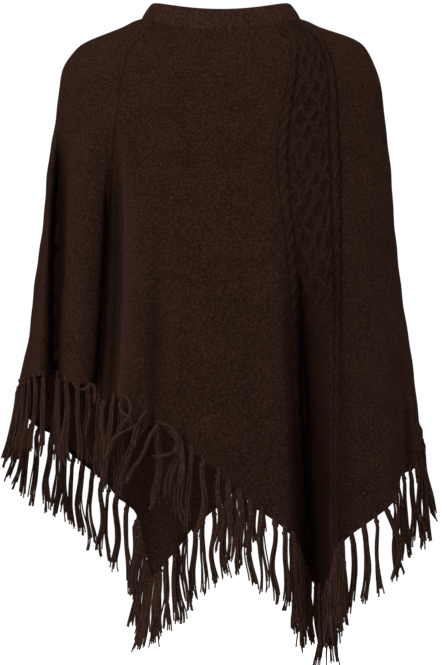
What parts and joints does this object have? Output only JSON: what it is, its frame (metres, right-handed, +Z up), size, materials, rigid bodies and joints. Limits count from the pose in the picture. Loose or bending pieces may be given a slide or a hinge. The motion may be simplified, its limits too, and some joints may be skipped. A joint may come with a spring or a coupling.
{
  "type": "knitted poncho",
  "caption": "Knitted wool poncho in its worn shape: ribbed collar, cable band down the back, pointed hem and a long knotted fringe all round.",
  "frame": {"origin": "middle of the neck opening at the height of the collar seam, where the wearer's neck and shoulders hold it", "axes": "+Z up, out of the collar; +Y from the back to the front; +X to the wearer's right, on the side of the cable band"},
  "size_m": [0.6223, 0.3937, 0.9433],
  "materials": {
    "knit_wool": "matte melange wool knit with a soft sheen",
    "rib_wool": "matte ribbed wool knit",
    "fringe_yarn": "matte twisted wool yarn"
  },
  "bodies": {
    "root": {"collar": "rib_wool", "back_panel": "knit_wool", "left_side": "knit_wool", "right_side": "knit_wool", "front_panel": "knit_wool", "fringe_back": "fringe_yarn", "fringe_left": "fringe_yarn", "fringe_right": "fringe_yarn", "fringe_front": "fringe_yarn"}
  },
  "joints": []
}
